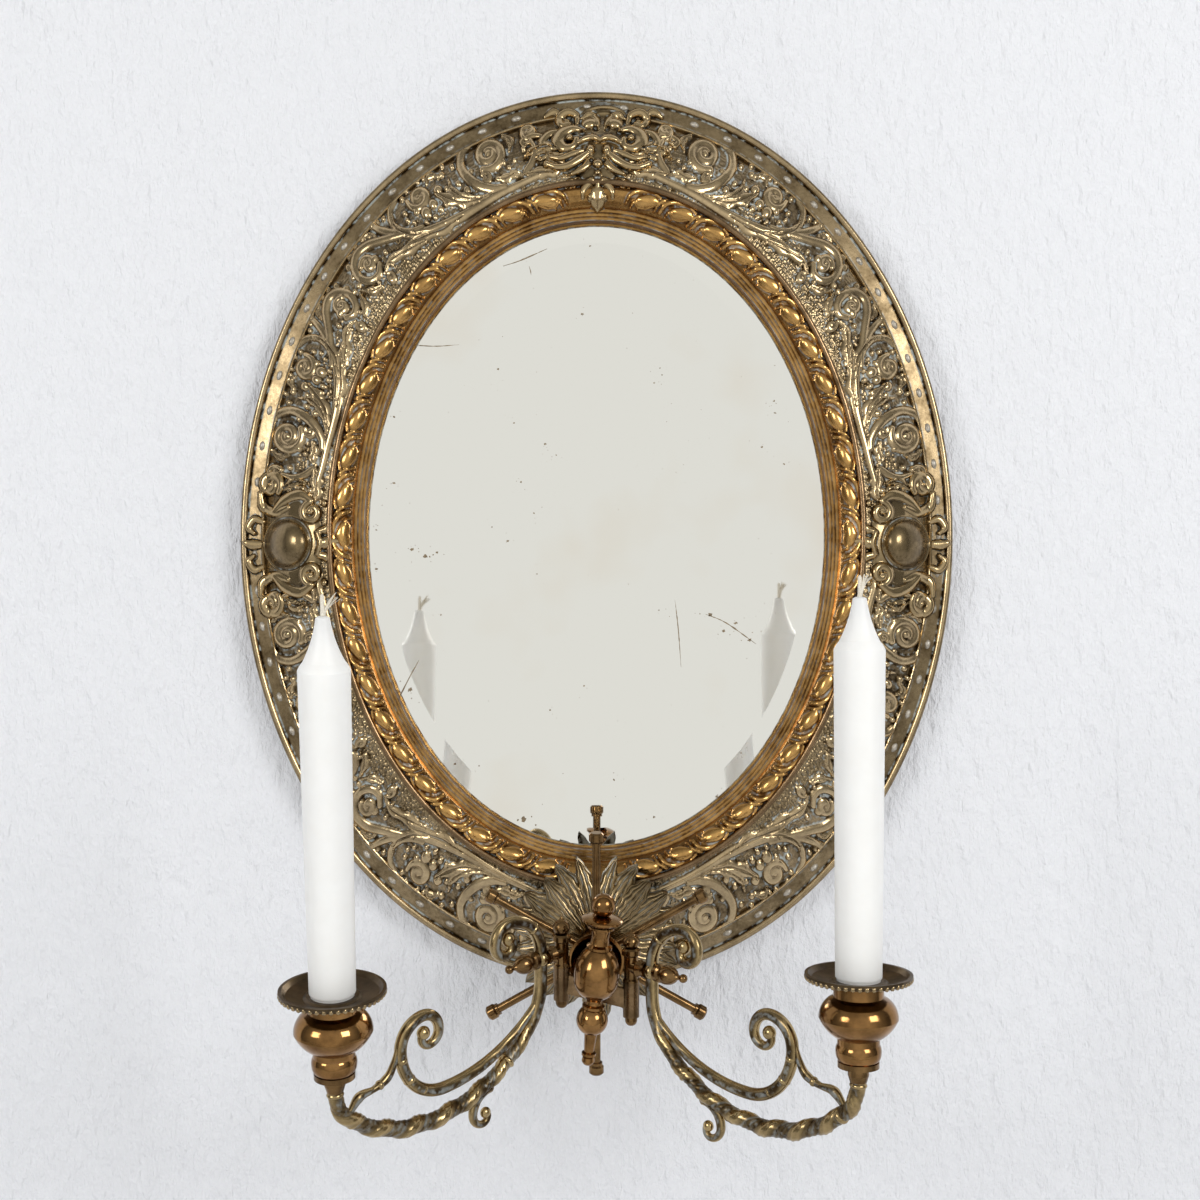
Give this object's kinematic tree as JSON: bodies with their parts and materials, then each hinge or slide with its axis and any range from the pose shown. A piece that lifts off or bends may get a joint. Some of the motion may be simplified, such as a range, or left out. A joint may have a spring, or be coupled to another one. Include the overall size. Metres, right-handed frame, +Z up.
{
  "type": "girandole mirror",
  "caption": "Oval wall mirror in an embossed brass-covered wooden frame, with swinging scroll arms that hold candles in cups with drip pans.",
  "frame": {"origin": "centre of the oval on the wall plane, at the back face of the back board", "axes": "+Z up, +Y into the wall, -Y to the room, +X to the right seen from the room"},
  "size_m": [0.38, 0.2169, 0.5241],
  "materials": {
    "embossed_brass": "patinated sheet, polished on the high points",
    "gilt_brass": "warmer, less patinated sheet",
    "cast_brass": "cast, patinated, pale polish residue in the hollows",
    "turned_brass": "turned and polished, lightly patinated",
    "steel": "plain",
    "pine": "old, stained",
    "stained_board": "old, dark stain",
    "mirror": "bevelled, lightly foxed",
    "wax": "smooth candle wax",
    "cotton_wick": "plaited cotton, frayed end"
  },
  "bodies": {
    "mirror": {"embossed_cover": "embossed_brass", "sight_slip": "gilt_brass", "ridge_wire": "embossed_brass", "back_screws": "steel", "hanger_plate": "turned_brass", "wood_frame": "pine", "back_board": "stained_board", "mirror_glass": "mirror", "packing_board": "stained_board", "glue_blocks": "pine", "crest": "cast_brass", "left_boss": "cast_brass", "right_boss": "cast_brass", "rosette": "cast_brass", "distance_collar": "turned_brass", "hub_spacer": "turned_brass", "spoke_top": "turned_brass", "spoke_upper_right": "turned_brass", "spoke_lower_right": "turned_brass", "spoke_bottom": "turned_brass", "spoke_lower_left": "turned_brass", "spoke_upper_left": "turned_brass", "spoke_hub": "turned_brass", "bell": "turned_brass", "hinge_yoke": "cast_brass", "stud": "steel", "stud_washer": "steel", "stud_nut": "steel", "spindle_bulb": "turned_brass", "stud_sleeve": "turned_brass", "spindle_neck": "turned_brass", "saucer": "turned_brass", "ball_finial": "turned_brass", "lower_neck": "turned_brass", "lower_ball": "turned_brass", "pendant_tube": "turned_brass", "end_knob": "turned_brass", "spindle_core": "steel", "left_pin": "steel", "left_pin_finial": "turned_brass", "left_pin_nut": "turned_brass", "right_pin": "steel", "right_pin_finial": "turned_brass", "right_pin_nut": "turned_brass"},
    "left_arm_unit": {"left_elbow": "turned_brass", "left_acorn_nut": "turned_brass", "left_arm": "cast_brass", "left_cup_foot": "turned_brass", "left_candle_cup": "turned_brass", "left_drip_pan": "turned_brass"},
    "left_candle_unit": {"left_candle": "wax", "left_wick": "cotton_wick"},
    "right_arm_unit": {"right_elbow": "turned_brass", "right_acorn_nut": "turned_brass", "right_arm": "cast_brass", "right_cup_foot": "turned_brass", "right_candle_cup": "turned_brass", "right_drip_pan": "turned_brass"},
    "right_candle_unit": {"right_candle": "wax", "right_wick": "cotton_wick"}
  },
  "joints": [
    {"name": "left_arm_swing", "type": "hinge", "parent": "mirror", "child": "left_arm_unit", "pos_m": [-0.017, -0.086, -0.2055], "axis": [0, -0.1564, 0.9877], "range_deg": [-41, 37]},
    {"name": "right_arm_swing", "type": "hinge", "parent": "mirror", "child": "right_arm_unit", "pos_m": [0.017, -0.086, -0.213], "axis": [0, -0.0175, 0.9998], "range_deg": [-37, 41]},
    {"name": "left_candle_lift", "type": "slide", "parent": "left_arm_unit", "child": "left_candle_unit", "axis": [0, -0.1564, 0.9877], "range_m": [0, 0.03]},
    {"name": "right_candle_lift", "type": "slide", "parent": "right_arm_unit", "child": "right_candle_unit", "axis": [0, -0.0175, 0.9998], "range_m": [0, 0.03]}
  ]
}
